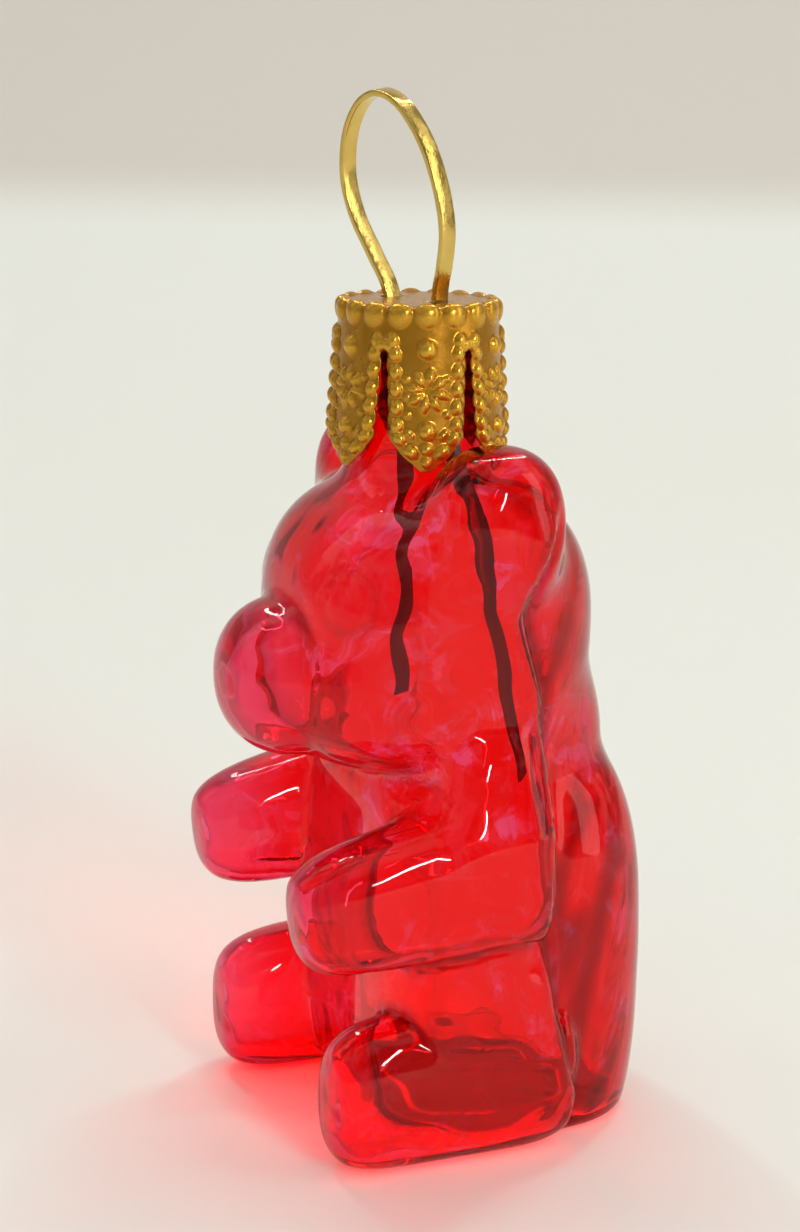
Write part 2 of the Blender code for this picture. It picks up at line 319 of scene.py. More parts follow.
def normals_of(points, faces):
    mesh = bpy.data.meshes.new("measure")
    mesh.from_pydata([tuple(p) for p in points], [], faces)
    mesh.update()
    found = np.empty(len(points) * 3)
    mesh.vertices.foreach_get("normal", found)
    bpy.data.meshes.remove(mesh)
    return found.reshape(-1, 3)


def slow_noise(points, length, seed):
    shift = Vector((seed * 17.3, seed * 5.1, seed * 9.7))
    return np.array([noise.noise(Vector(p) / length + shift) for p in points])


outward = normals_of(skin, net_faces)
wall = WALL * (1.0 + 0.45 * slow_noise(skin, 7.0, 1) + 0.2 * slow_noise(skin, 2.6, 2))
wall = wall * (1.0 + 0.9 * np.exp(-skin[:, 2] / 1.5))
wall = np.where(on_rim, WALL, wall)
inner = skin - outward * wall[:, None]
for _ in range(6):
    inner = evened(inner, net_edges, 0.5, on_rim)
for _ in range(4):
    rise = slope(inner)
    too_near = np.maximum(bear_gap(inner) + THINNEST, 0.0) / np.maximum((rise ** 2).sum(1), 0.2)
    too_near[on_rim] = 0.0
    inner = inner - rise * np.minimum(too_near, 0.5)[:, None]
past_line = skin[:, 1] - np.interp(skin[:, 2], [z for z, _ in PARTING], [y for _, y in PARTING])
behind = np.clip(past_line / 1.2, 0.0, 1.0) * np.clip((41.0 - skin[:, 2]) / 3.0, 0.0, 1.0)
flow = slow_noise(skin * np.array([1.0, 0.3, 1.1]), LENS_LENGTH, 4)
streaks = slow_noise(skin @ STREAK_WAY, 1.5, 5)
inner = inner - outward * (LENS_RIPPLE * (1.0 - behind) * flow + STREAK_RIPPLE * behind * streaks)[:, None]
ripple = RIPPLE * slow_noise(skin, RIPPLE_LENGTH, 3) * np.clip(skin[:, 2] / 3.0, 0.0, 1.0)
outer = skin + outward * (ripple + mould_relief(skin))[:, None]
outer[on_rim] = skin[on_rim]
outer[:, 2] = np.maximum(outer[:, 2], 0.0)
left = ((outer - inner) * outward).sum(1)
inner = inner - outward * np.where(on_rim, 0.0, np.maximum(THINNEST / 2 - left, 0.0))[:, None]
print("glass left between the skins: at least %.2f mm" % ((outer - inner) * outward).sum(1).min())
# Painted shade: the number below turns the glass maroon in the hollows of the outer skin, along the mould line and in
# streaks down the back, standing in for shade and dark reflections
hollow = ((evened(outer, net_edges, 1.0, on_rim) - outer) * outward).sum(1)
painted_shade = np.clip((hollow - 0.008) / 0.032, 0.0, 1.0)
back_streak_shade = 0.65 * behind * np.clip((streaks - 0.04) / 0.22, 0.0, 1.0) * np.clip(skin[:, 0] / 3.0, 0.0, 1.0)
seam_shade = np.exp(-((past_line - 0.1) / 0.38) ** 2) * np.clip(np.abs(skin[:, 0]) - 7.0, 0.0, 1.0)
seam_shade = seam_shade * np.clip((43.0 - skin[:, 2]) / 2.0, 0.0, 1.0)
painted_shade = np.maximum(painted_shade, seam_shade) * np.clip((skin[:, 0] + 2.0) / 4.0, 0.15, 1.0)
painted_shade = np.maximum(painted_shade, back_streak_shade)
for _ in range(2):
    painted_shade = evened(painted_shade[:, None], net_edges, 0.5, on_rim)[:, 0]
print("wall from %.2f to %.2f mm" % (wall.min(), wall.max()))


# %% Glass bear mesh
def two_skins(outer, inner, faces, painted_shade):
    count = len(outer)
    points = np.vstack([outer, inner])
    points = points + np.array([NECK_X, NECK_Y, 0.0])
    reversed_faces = [tuple(i + count for i in face[::-1]) for face in faces]
    mesh = bpy.data.meshes.new("glass_bear_skin")
    mesh.from_pydata([tuple(p * MM) for p in points], [], faces + reversed_faces)
    bm = bmesh.new()
    bm.from_mesh(mesh)
    bm.verts.ensure_lookup_table()
    open_edges = [e for e in bm.edges if e.is_boundary and e.verts[0].index < count]
    for edge in open_edges:
        a, b = edge.verts
        face = edge.link_faces[0]
        order = [v.index for v in face.verts]
        if order[(order.index(a.index) + 1) % len(order)] == b.index:
            a, b = b, a
        bm.faces.new((a, b, bm.verts[b.index + count], bm.verts[a.index + count]))
    bm.to_mesh(mesh)
    bm.free()
    mesh.attributes.new("painted_shade", "FLOAT", "POINT").data.foreach_set("value", np.tile(painted_shade, 2))
    mesh.shade_smooth()
    return mesh


bear = new_object("blown_glass_bear", two_skins(outer, inner, net_faces, painted_shade))
print("glass bear:", len(bear.data.polygons), "faces")

# %% [markdown]
# ## Red glass
# The red is a transparent stain, and it darkens with the length of the way through: a ray that grazes the wall comes
# out darker. Where the stain ran thin it turns pink. Maroon is painted in as shade and dark reflection: in the
# creases, along the mould line, in streaks down the back, and at the edges where the wall turns away. Soda-lime glass
# has an IOR of about 1.52. It is set a little lower here, and its reflection weaker, so that the red stays bright
# through four surfaces. Lamps reach the table through the glass with its colour, so a shadow ray gets a tinted, unbent
# way through. So does a ray that is caught between the two skins for long, because it would run out of bounces there
# and leave a black spot.

# %% Blown soda-lime glass, stained ruby
TRAPPED_AFTER = 2.5
LET_THROUGH = 0.95


def ruby_glass():
    made = bpy.data.materials.new("blown soda-lime glass, ruby stain")
    made.use_nodes = True
    tree = made.node_tree
    tree.nodes.clear()
    place = add_node(tree, "ShaderNodeTexCoord").outputs["Object"]
    patches = add_node(tree, "ShaderNodeTexNoise", {"Vector": place, "Scale": 230.0, "Detail": 3.5,
                                                    "Roughness": 0.6, "Distortion": 0.8})
    spread = add_node(tree, "ShaderNodeMapRange", {"Value": patches.outputs["Fac"], "From Min": 0.54,
                                                   "From Max": 0.57})
    forward = add_node(tree, "ShaderNodeSeparateXYZ", {0: place}).outputs["Y"]
    stretched = add_node(tree, "ShaderNodeMapRange", {"Value": forward, "From Min": -0.005, "From Max": -0.011,
                                                      "To Max": 0.85})
    thin = add_node(tree, "ShaderNodeMath", {0: spread.outputs["Result"], 1: stretched.outputs["Result"]},
                    operation="ADD", use_clamp=True)
    tint = add_node(tree, "ShaderNodeMix", {"Factor": thin.outputs[0]}, data_type="RGBA")
    tint.inputs["A"].default_value = linear("#FF524D")
    tint.inputs["B"].default_value = linear("#FFACC4")
    # Painted shade: maroon is mixed in by the painted per-point number and by how far the wall turns away, for dark
    # creases, streaks and edges
    painted_shade = add_node(tree, "ShaderNodeAttribute", attribute_name="painted_shade").outputs["Fac"]
    facing = add_node(tree, "ShaderNodeLayerWeight", {"Blend": 0.5}).outputs["Facing"]
    grazing_shade = add_node(tree, "ShaderNodeMapRange", {"Value": facing, "From Min": 0.42, "From Max": 0.85,
                                                    "To Max": 0.9})
    painted_shade_factor = add_node(tree, "ShaderNodeMath", {0: painted_shade, 1: grazing_shade.outputs["Result"]}, operation="MAXIMUM")
    shaded_tint = add_node(tree, "ShaderNodeMix", {"Factor": painted_shade_factor.outputs[0], "A": tint.outputs["Result"]},
                   data_type="RGBA")
    shaded_tint.inputs["B"].default_value = linear("#762830")
    shader = add_node(tree, "ShaderNodeBsdfPrincipled", {"Base Color": shaded_tint.outputs["Result"], "Roughness": 0.0,
                                                         "IOR": 1.44, "Transmission Weight": 1.0,
                                                         "Specular Tint": linear("#D0C8C8")})
    passing = add_node(tree, "ShaderNodeBsdfTransparent", {"Color": tint.outputs["Result"]})
    path = add_node(tree, "ShaderNodeLightPath").outputs
    trapped = add_node(tree, "ShaderNodeMath", {0: path["Glossy Depth"], 1: TRAPPED_AFTER},
                       operation="GREATER_THAN")
    lit = add_node(tree, "ShaderNodeMath", {0: path["Is Shadow Ray"], 1: LET_THROUGH}, operation="MULTIPLY")
    straight = add_node(tree, "ShaderNodeMath", {0: lit.outputs[0], 1: trapped.outputs[0]},
                        operation="MAXIMUM")
    surface = add_node(tree, "ShaderNodeMixShader", {0: straight.outputs[0], 1: shader.outputs["BSDF"],
                                                     2: passing.outputs["BSDF"]})
    depth = add_node(tree, "ShaderNodeVolumeAbsorption", {"Color": (0.97, 0.35, 0.6, 1.0), "Density": 1400.0})
    add_node(tree, "ShaderNodeOutputMaterial", {"Surface": surface.outputs["Shader"],
                                                "Volume": depth.outputs["Volume"]})
    return made


bear.data.materials.append(ruby_glass())

# %% [markdown]
# ## The crown cap
# The real cap is one stamped sheet: a round top with a beaded rim, and six petals that were bent down over the neck.
# One sector of it is enough. Its net follows the outline of the petal, and each point is pushed out by the height of
# the stamp there: beads along the edges, a rosette in the middle and a bead above and below it. Geometry Nodes then
# turn the sector round the neck six times and merge the seams, and Solidify gives the sheet its thickness.

# %% Stamp of one petal
PETALS = 6
PETAL_TURN = 42.0
CAP_TOP_RADIUS = 5.45
RIM = 0.6
SHEET = 0.2
RIM_HEIGHT = 0.3
BEAD_HEIGHT = 0.32
PETAL_LONG = CAP_TOP - 45.2
SHOULDER = CAP_TOP - 47.6
SLIT_FROM = CAP_TOP - 52.9
SLIT_NARROW = 0.3
SLIT_WIDE = 1.05
BEAD_PITCH = 1.12


def skirt_radius(depth):
    """Radius of the skirt at a depth under the cap's top."""
    share = np.clip((depth - RIM) / (SHOULDER - RIM), 0.0, 1.0)
    return CAP_TOP_RADIUS - RIM_HEIGHT + (CAP_LOW_RADIUS - BEAD_HEIGHT - CAP_TOP_RADIUS + RIM_HEIGHT) * share


def half_width(depth):
    """Half width of a petal, in millimetres along the sheet."""
    full = math.pi / PETALS * skirt_radius(depth)
    if depth <= SLIT_FROM:
        return full
    share = min((depth - SLIT_FROM) / (SHOULDER - SLIT_FROM), 1.0)
    width = full - (SLIT_NARROW + (SLIT_WIDE - SLIT_NARROW) * share) / 2
    if depth > SHOULDER:
        low = (depth - SHOULDER) / (PETAL_LONG - SHOULDER)
        width *= max(1.0 - low ** 1.25, 0.0) ** 0.85
    return width


def edge_beads(inset, pitch, start, size, height, long=1.0, first=0.5):
    """Beads along the outline of a petal, a fixed distance inside it, on both sides: (x, depth, size, height, long,
    turn of the long axis)."""
    depths = np.linspace(start, PETAL_LONG, 400)
    outline = np.array([(half_width(d), d) for d in depths])
    along = np.gradient(outline, axis=0)
    along /= np.linalg.norm(along, axis=1, keepdims=True)
    inside = outline + inset * np.stack([-along[:, 1], along[:, 0]], 1)
    keep = inside[:, 0] > size * 0.6
    inside, along = inside[keep], along[keep]
    length = np.concatenate([[0.0], np.cumsum(np.linalg.norm(np.diff(inside, axis=0), axis=1))])
    beads = []
    for place in np.arange(first * pitch, length[-1], pitch):
        across, depth, lean_x, lean_y = (float(np.interp(place, length, values)) for values in
                                         (inside[:, 0], inside[:, 1], along[:, 0], along[:, 1]))
        turn = math.atan2(lean_x, lean_y)
        beads += [(across, depth, size, height, long, turn), (-across, depth, size, height, long, -turn)]
    return beads


BEADS = edge_beads(0.55, BEAD_PITCH, 1.75, 0.42, BEAD_HEIGHT, 1.3)
BEADS += edge_beads(1.25, BEAD_PITCH, 3.6, 0.24, 0.14, 1.0, 1.0)
BEADS += [(0.0, 2.85, 0.62, 0.42, 1.0, 0.0), (0.0, 7.95, 0.58, 0.4, 1.0, 0.0), (0.0, 9.1, 0.42, 0.28, 1.0, 0.0),
          (0.0, 9.95, 0.36, 0.26, 1.0, 0.0)]
RIM_DEPTH = 0.62
ROSETTE_DEPTH = 5.45
ROSETTE_RADIUS = 1.5
ROSETTE_RAYS = 8
RIM_BEADS = 3
print(len(BEADS), "beads on each petal")


def dome(distance, size, height):
    return height * np.clip(1.0 - (distance / size) ** 2, 0.0, 1.0) ** 0.65


def stamp(across, depth, angle_share):
    """Height of the relief over the flat sheet."""
    height = np.zeros_like(across)
    for x, y, size, tall, long, turn in BEADS:
        dx, dy = across - x, depth - y
        side = dx * math.cos(turn) - dy * math.sin(turn)
        ahead = (dx * math.sin(turn) + dy * math.cos(turn)) / long
        height = np.maximum(height, dome(np.hypot(side, ahead), size, tall))
    radius = np.hypot(across, depth - ROSETTE_DEPTH)
    angle = np.arctan2(across, depth - ROSETTE_DEPTH) + 0.2
    off_ray = np.abs(np.mod(angle * ROSETTE_RAYS / (2 * math.pi) + 0.5, 1.0) - 0.5) * 2 * math.pi / ROSETTE_RAYS
    length = np.clip((radius - 0.2) / (ROSETTE_RADIUS - 0.2), 0.0, 1.0)
    leaf = 0.3 * np.sin(math.pi * length ** 1.3) + 0.02
    ray = np.clip(1.0 - (np.sin(np.minimum(off_ray, 1.5)) * radius / leaf) ** 2, 0.0, 1.0) ** 0.6
    height = np.maximum(height, 0.3 * ray * np.sin(math.pi * length))
    pitch = 2.0 / RIM_BEADS
    off = (np.mod(angle_share + 1.0, pitch) - pitch / 2) * math.pi / PETALS * CAP_TOP_RADIUS
    height = np.maximum(height, dome(np.hypot(off, (depth - RIM_DEPTH) * 0.95), 0.84, RIM_HEIGHT))
    return height


# %% One sector of the crown
def sector_rows():
    """Rows from the middle of the top to the tip: radius, height, direction of the outside, depth along the sheet."""
    rows = []
    bend = 0.4
    corner = CAP_TOP_RADIUS - RIM_HEIGHT - bend
    top = CAP_TOP - 0.2
    for radius in (0.12, 1.2, 2.2, 2.8, 3.2, 3.5, 3.7, 3.85, 4.0, 4.12, 4.24, 4.36, 4.48):
        rows.append((radius, top, 0.0, 1.0, radius - corner))
    for step in range(10):
        angle = math.radians(90.0 - 10.0 * step)
        rows.append((corner + bend * math.cos(angle), top - bend + bend * math.sin(angle),
                     math.cos(angle), math.sin(angle), bend * (math.pi / 2 - angle)))
    depths = np.arange(0.2 + bend + 0.05, PETAL_LONG - 0.06, 0.1)
    for depth in depths:
        rows.append((float(skirt_radius(depth)), CAP_TOP - depth, 1.0, 0.06, float(depth)))
    return rows


def sector_mesh(columns=52):
    rows = sector_rows()
    shares = np.linspace(-1.0, 1.0, columns + 1)
    points = []
    heights = []
    for radius, height, out_r, out_z, depth in rows:
        on_skirt = out_z < 0.1
        wide = half_width(depth) if on_skirt else math.pi / PETALS * radius
        if on_skirt and depth > SLIT_FROM:
            wide -= 0.09 * (1.0 - abs(math.sin(math.pi * depth / BEAD_PITCH)))
        angles = shares * max(wide, 0.05) / radius
        relief = stamp(angles * radius, np.full_like(angles, depth), shares)
        for angle, tall in zip(angles, relief):
            r = radius + tall * out_r
            points.append((r * math.cos(angle), r * math.sin(angle), height + tall * out_z))
            heights.append(tall)
    n = columns + 1
    faces = [(i * n + j, (i + 1) * n + j, (i + 1) * n + j + 1, i * n + j + 1)
             for i in range(len(rows) - 1) for j in range(columns)]
    mesh = bpy.data.meshes.new("petal_sector")
    mesh.from_pydata(points, [], faces)
    relief = mesh.attributes.new("relief", "FLOAT", "POINT")
    relief.data.foreach_set("value", heights)
    return mesh


# %% [markdown]
# The ring of petals is a Geometry Nodes tree with named inputs: the sector, how many there are, the turn of the
# first one and the finish. A point for each petal carries an instance, turned about the neck.

# %% Ring of petals in Geometry Nodes
def set_input(modifier, name, value):
    for item in modifier.node_group.interface.items_tree:
        if item.item_type == "SOCKET" and item.in_out == "INPUT" and item.name == name:
            modifier[item.identifier] = value


def ring_tree():
    tree = bpy.data.node_groups.new("ring of petals", "GeometryNodeTree")
    tree.interface.new_socket("Geometry", in_out="OUTPUT", socket_type="NodeSocketGeometry")
    for name, kind in (("Sector", "NodeSocketObject"), ("Count", "NodeSocketInt"), ("First turn", "NodeSocketFloat"),
                       ("Merge within", "NodeSocketFloat"), ("Finish", "NodeSocketMaterial")):
        tree.interface.new_socket(name, in_out="INPUT", socket_type=kind)
    given = add_node(tree, "NodeGroupInput").outputs
    sector = add_node(tree, "GeometryNodeObjectInfo", {"Object": given["Sector"]}, transform_space="ORIGINAL")
    places = add_node(tree, "GeometryNodeMeshLine", {"Count": given["Count"], "Offset": (0.0, 0.0, 0.0)})
    number = add_node(tree, "GeometryNodeInputIndex")
    pitch = add_node(tree, "ShaderNodeMath", {0: 2 * math.pi, 1: given["Count"]}, operation="DIVIDE")
    turned = add_node(tree, "ShaderNodeMath", {0: number.outputs[0], 1: pitch.outputs[0], 2: given["First turn"]},
                      operation="MULTIPLY_ADD")
    about_z = add_node(tree, "ShaderNodeCombineXYZ", {"Z": turned.outputs[0]})
    ring = add_node(tree, "GeometryNodeInstanceOnPoints", {"Points": places.outputs["Mesh"],
                                                           "Instance": sector.outputs["Geometry"],
                                                           "Rotation": about_z.outputs[0]})
    real = add_node(tree, "GeometryNodeRealizeInstances", {0: ring.outputs[0]})
    merged = add_node(tree, "GeometryNodeMergeByDistance", {"Geometry": real.outputs[0],
                                                            "Distance": given["Merge within"]})
    painted = add_node(tree, "GeometryNodeSetMaterial", {"Geometry": merged.outputs[0],
                                                         "Material": given["Finish"]})
    add_node(tree, "NodeGroupOutput", {"Geometry": painted.outputs[0]})
    return tree


# %% [markdown]
# The cap's metal is thin tinplate with a gold lacquer: a metallic base with the lacquer's tint. Its colour is painted
# darker and browner in the hollows of the stamp and lighter on the tops of the beads: painted shade and painted
# highlight.

# %% Gold-lacquered tinplate
def gold_lacquer():
    made = bpy.data.materials.new("gold-lacquered tinplate")
    made.use_nodes = True
    tree = made.node_tree
    tree.nodes.clear()
    relief = add_node(tree, "ShaderNodeAttribute", attribute_name="relief").outputs["Fac"]
    # Painted highlight and shade: the colour is lighter where the stamp stands high and darker in its hollows
    relief_light_and_shade = add_node(tree, "ShaderNodeMapRange", {"Value": relief, "From Min": 0.0, "From Max": 0.38})
    place = add_node(tree, "ShaderNodeTexCoord").outputs["Object"]
    cloud = add_node(tree, "ShaderNodeTexNoise", {"Vector": place, "Scale": 700.0, "Detail": 4.0})
    share = add_node(tree, "ShaderNodeMath", {0: relief_light_and_shade.outputs["Result"], 1: 0.75, 2: -0.1},
                     operation="MULTIPLY_ADD")
    mixed = add_node(tree, "ShaderNodeMath", {0: cloud.outputs["Fac"], 1: 0.5, 2: share.outputs[0]},
                     operation="MULTIPLY_ADD", use_clamp=True)
    colour = add_node(tree, "ShaderNodeMix", {"Factor": mixed.outputs[0]}, data_type="RGBA")
    colour.inputs["A"].default_value = linear("#B07612")
    colour.inputs["B"].default_value = linear("#DCA834")
    gloss = add_node(tree, "ShaderNodeMapRange", {"Value": cloud.outputs["Fac"], "To Min": 0.18, "To Max": 0.34})
    grain = add_node(tree, "ShaderNodeTexNoise", {"Vector": place, "Scale": 2600.0, "Detail": 2.0})
    bump = add_node(tree, "ShaderNodeBump", {"Height": grain.outputs["Fac"], "Strength": 0.25,
                                             "Distance": 0.00004})
    shader = add_node(tree, "ShaderNodeBsdfPrincipled", {"Base Color": colour.outputs["Result"], "Metallic": 0.72,
                                                         "Roughness": gloss.outputs["Result"],
                                                         "Normal": bump.outputs["Normal"]})
    add_node(tree, "ShaderNodeOutputMaterial", {"Surface": shader.outputs["BSDF"]})
    return made


# %% Crown cap
def close_middle(mesh):
    bm = bmesh.new()
    bm.from_mesh(mesh)
    ring = [e for e in bm.edges if e.is_boundary and all(v.co.xy.length < 0.5 for v in e.verts)]
    bmesh.ops.holes_fill(bm, edges=ring, sides=0)
    bmesh.ops.recalc_face_normals(bm, faces=bm.faces[:])
    bm.to_mesh(mesh)
    bm.free()


def crown_cap():
    finish = gold_lacquer()
    sector = new_object("petal_sector", sector_mesh())
    base = new_object("crown", bpy.data.meshes.new("crown"))
    ring = base.modifiers.new("petals", "NODES")
    ring.node_group = ring_tree()
    for name, value in (("Sector", sector), ("Count", PETALS), ("First turn", math.radians(PETAL_TURN)),
                        ("Merge within", 0.002), ("Finish", finish)):
        set_input(ring, name, value)
    mesh = finished_mesh(base, "crown")
    bpy.data.objects.remove(sector)
    close_middle(mesh)
    mesh.transform(Matrix.Scale(MM, 4))
    crown = new_object("crown", mesh)
    sheet = crown.modifiers.new("sheet", "SOLIDIFY")
    sheet.thickness = SHEET * MM
    sheet.offset = -1.0
    mesh = finished_mesh(crown, "crown_cap")
    mesh.transform(Matrix.Translation((NECK_X * MM, NECK_Y * MM, 0.0)))
    mesh.shade_smooth()
    return new_object("crown_cap", mesh)


cap = crown_cap()
print("crown cap:", len(cap.data.polygons), "faces")

# %% [markdown]
# ## The hanger
# A flat brass strip is bent edge-on into a loop, and its two legs pass the cap and spread inside the glass. Its route
# is the one that the solids have. Geometry Nodes sweep a rounded oblong along that route.

# %% Route of the strip
STRIP_WIDTH = 1.2
STRIP_THICK = 0.42
LOOP_TURN = 18.0
LOOP_LEAN = 7.5
LOOP_FOOT_Y = -0.25
SLOT_ROOM = 0.3
STRIP_ROUTE = [
    (-5.2, -29.0), (-4.2, -23.0), (-3.3, -17.5), (-2.4, -12.5), (-2.0, -8.0), (-2.0, -4.0),
    (-2.3, 0.0), (-3.6, 2.4), (-5.0, 4.8), (-5.6, 7.2), (-5.3, 9.4), (-4.5, 11.1), (-3.2, 12.4),
    (-1.6, 12.9), (0.0, 12.4), (1.3, 11.2), (2.5, 9.3), (3.3, 6.8), (3.5, 4.4), (3.0, 2.2),
    (2.3, 0.0), (2.0, -4.0), (2.0, -8.0), (2.7, -11.0), (4.7, -15.0), (5.6, -20.0), (6.1, -26.0), (7.3, -32.0),
]


def smooth_route(points, pieces):
    """Catmull-Rom curve through the points."""
    ends = [points[0] * 2 - points[1]] + points + [points[-1] * 2 - points[-2]]
    route = []
    for i in range(1, len(ends) - 2):
        a, b, c, d = ends[i - 1:i + 3]
        for step in range(pieces):
            t = step / pieces
            route.append(0.5 * (2 * b + (c - a) * t + (2 * a - 5 * b + 4 * c - d) * t * t
                                + (3 * b - 3 * c + d - a) * t ** 3))
    route.append(points[-1])
    return route


def strip_tree():
    tree = bpy.data.node_groups.new("flat strip", "GeometryNodeTree")
    tree.interface.new_socket("Geometry", in_out="OUTPUT", socket_type="NodeSocketGeometry")
    for name, kind in (("Geometry", "NodeSocketGeometry"), ("Width", "NodeSocketFloat"),
                       ("Thickness", "NodeSocketFloat"), ("Edge radius", "NodeSocketFloat"),
                       ("Finish", "NodeSocketMaterial")):
        tree.interface.new_socket(name, in_out="INPUT", socket_type=kind)
    given = add_node(tree, "NodeGroupInput").outputs
    upright = add_node(tree, "GeometryNodeSetCurveNormal", {"Curve": given["Geometry"]}, mode="Z_UP")
    oblong = add_node(tree, "GeometryNodeCurvePrimitiveQuadrilateral", {"Width": given["Thickness"],
                                                                        "Height": given["Width"]})
    rounded = add_node(tree, "GeometryNodeFilletCurve", {"Curve": oblong.outputs[0], "Count": 3,
                                                         "Radius": given["Edge radius"]}, mode="POLY")
    swept = add_node(tree, "GeometryNodeCurveToMesh", {"Curve": upright.outputs[0],
                                                       "Profile Curve": rounded.outputs[0], "Fill Caps": True})
    real = add_node(tree, "GeometryNodeRealizeInstances", {0: swept.outputs[0]})
    painted = add_node(tree, "GeometryNodeSetMaterial", {"Geometry": real.outputs[0],
                                                         "Material": given["Finish"]})
    add_node(tree, "NodeGroupOutput", {"Geometry": painted.outputs[0]})
    return tree


# %% Rolled brass strip
def rolled_brass():
    made = bpy.data.materials.new("rolled brass strip")
    made.use_nodes = True
    tree = made.node_tree
    tree.nodes.clear()
    place = add_node(tree, "ShaderNodeTexCoord").outputs["Object"]
    stain = add_node(tree, "ShaderNodeTexNoise", {"Vector": place, "Scale": 420.0, "Detail": 4.0,
                                                  "Roughness": 0.6})
    colour = add_node(tree, "ShaderNodeMix", {"Factor": stain.outputs["Fac"]}, data_type="RGBA")
    colour.inputs["A"].default_value = linear("#C29A42")
    colour.inputs["B"].default_value = linear("#EFD07A")
    # Painted shade: below the cap's top the strip turns dark brown, where the legs hang inside the glass under the cap
    height = add_node(tree, "ShaderNodeSeparateXYZ", {0: place}).outputs["Z"]
    inside = add_node(tree, "ShaderNodeMapRange", {"Value": height, "From Min": CAP_TOP * MM,
                                                   "From Max": (CAP_TOP - 4.0) * MM})
    metal = add_node(tree, "ShaderNodeMix", {"Factor": inside.outputs["Result"],
                                             "A": colour.outputs["Result"]}, data_type="RGBA")
    metal.inputs["B"].default_value = linear("#6A4720")
    gloss = add_node(tree, "ShaderNodeMapRange", {"Value": stain.outputs["Fac"], "To Min": 0.1, "To Max": 0.26})
    scuff = add_node(tree, "ShaderNodeTexNoise", {"Vector": place, "Scale": 650.0, "Detail": 4.0,
                                                  "Roughness": 0.6})
    bump = add_node(tree, "ShaderNodeBump", {"Height": scuff.outputs["Fac"], "Strength": 0.6,
                                             "Distance": 0.00012})
    shader = add_node(tree, "ShaderNodeBsdfPrincipled", {"Base Color": metal.outputs["Result"], "Metallic": 1.0,
                                                         "Roughness": gloss.outputs["Result"],
                                                         "Normal": bump.outputs["Normal"]})
    add_node(tree, "ShaderNodeOutputMaterial", {"Surface": shader.outputs["BSDF"]})
    return made


# %% Hanger
def hanger():
    route = smooth_route([Vector(point + (0.0,)) for point in STRIP_ROUTE], 9)
    curve = bpy.data.curves.new("strip_route", "CURVE")
    curve.dimensions = "3D"
    line = curve.splines.new("POLY")
    line.points.add(len(route) - 1)
    for point, place in zip(line.points, route):
        point.co = (place.x, place.y, 0.0, 1.0)
    guide = new_object("strip", curve)
    sweep = guide.modifiers.new("flat strip", "NODES")
    sweep.node_group = strip_tree()
    for name, value in (("Width", STRIP_WIDTH), ("Thickness", STRIP_THICK), ("Edge radius", 0.1),
                        ("Finish", rolled_brass())):
        set_input(sweep, name, value)
    mesh = finished_mesh(guide, "brass_hanger")
    across = Vector((math.cos(math.radians(LOOP_TURN)), math.sin(math.radians(LOOP_TURN)), 0.0))
    out = Matrix.Rotation(math.radians(LOOP_LEAN), 3, across) @ across.cross(Vector((0.0, 0.0, 1.0)))
    axes = Matrix((across, out.cross(across), out)).transposed().to_4x4()
    foot = Matrix.Translation(Vector((NECK_X, NECK_Y + LOOP_FOOT_Y, CAP_TOP)) * MM)
    mesh.transform(foot @ axes @ Matrix.Scale(MM, 4))
    bm = bmesh.new()
    bm.from_mesh(mesh)
    bmesh.ops.recalc_face_normals(bm, faces=bm.faces[:])
    bm.to_mesh(mesh)
    bm.free()
    mesh.shade_smooth()
    mesh.set_sharp_from_angle(angle=math.radians(40.0))
    return new_object("brass_hanger", mesh)


wire = hanger()
print("hanger:", len(wire.data.polygons), "faces")


# %% Slots where the strip passes the cap
def strip_slots(crown):
    """The stamped cap has two slots, a little wider than the strip, for the legs of the loop."""
    turn = math.radians(LOOP_TURN)
    cutters = []
    for along in (-2.3, 2.3):
        bm = bmesh.new()
        bmesh.ops.create_cube(bm, size=MM)
        bmesh.ops.scale(bm, verts=bm.verts, vec=(STRIP_THICK + 2 * SLOT_ROOM, STRIP_WIDTH + 2 * SLOT_ROOM, 3.0))
        middle = Vector((NECK_X + along * math.cos(turn), NECK_Y + LOOP_FOOT_Y + along * math.sin(turn), CAP_TOP))
        bmesh.ops.transform(bm, verts=bm.verts, matrix=Matrix.Translation(middle * MM) @ Matrix.Rotation(turn, 4, "Z"))
        mesh = bpy.data.meshes.new("slot")
        bm.to_mesh(mesh)
        bm.free()
        cutters.append(new_object("slot", mesh))
        cut = crown.modifiers.new("slot", "BOOLEAN")
        cut.operation = "DIFFERENCE"
        cut.solver = "EXACT"
        cut.object = cutters[-1]
    mesh = finished_mesh(crown, "crown_cap")
    for cutter in cutters:
        bpy.data.objects.remove(cutter)
    return new_object("crown_cap", mesh)


cap = strip_slots(cap)
print("crown cap with its slots:", len(cap.data.polygons), "faces")

# %% Table, backdrop and light
def sweep():
    """Floor that curves up far behind the bear."""
    profile = [(-0.6, 0.0), (0.25, 0.0)]
    for step in range(1, 13):
        angle = math.radians(90.0 * step / 12)
        profile.append((0.25 + 0.25 * math.sin(angle), 0.25 - 0.25 * math.cos(angle)))
    profile.append((0.5, 1.2))
    turn = Matrix.Rotation(math.radians(65.4), 4, "Z")
    verts = [turn @ Vector((x, y, z)) for x in (-1.5, 1.5) for y, z in profile]
    n = len(profile)
    faces = [(i, i + n, i + n + 1, i + 1) for i in range(n - 1)]
    mesh = bpy.data.meshes.new("table_sweep")
    mesh.from_pydata([tuple(v) for v in verts], [], faces)
    mesh.shade_smooth()
    return new_object("table_sweep", mesh)


floor = sweep()


